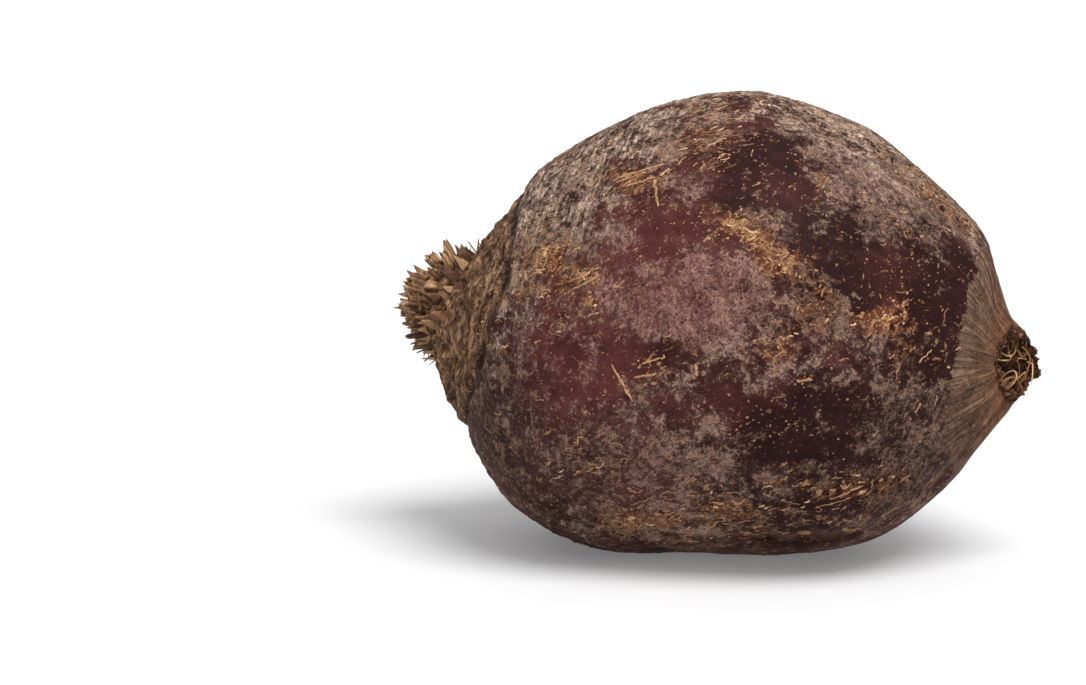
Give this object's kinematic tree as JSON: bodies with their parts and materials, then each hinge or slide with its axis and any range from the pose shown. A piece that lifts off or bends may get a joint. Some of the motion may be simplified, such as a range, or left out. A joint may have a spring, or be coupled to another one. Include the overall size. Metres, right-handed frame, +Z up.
{
  "type": "beetroot",
  "caption": "Whole trimmed beetroot lying on its side: a round root with a squat ridged cone and snapped taproot at one end, and a leaf crown with dry stalk stubs at the other.",
  "frame": {"origin": "centre of the small flat spot that the root rests on", "axes": "+X along the root from the leaf crown to the snapped taproot, +Z up from the surface that it lies on, -Y the side that both rows of side-root scars lean towards"},
  "size_m": [0.1301, 0.0914, 0.0908],
  "materials": {
    "skin": "satin",
    "dry_stalk": "matte"
  },
  "bodies": {
    "root": {"root": "skin", "crown_stalks": "dry_stalk"}
  },
  "joints": []
}
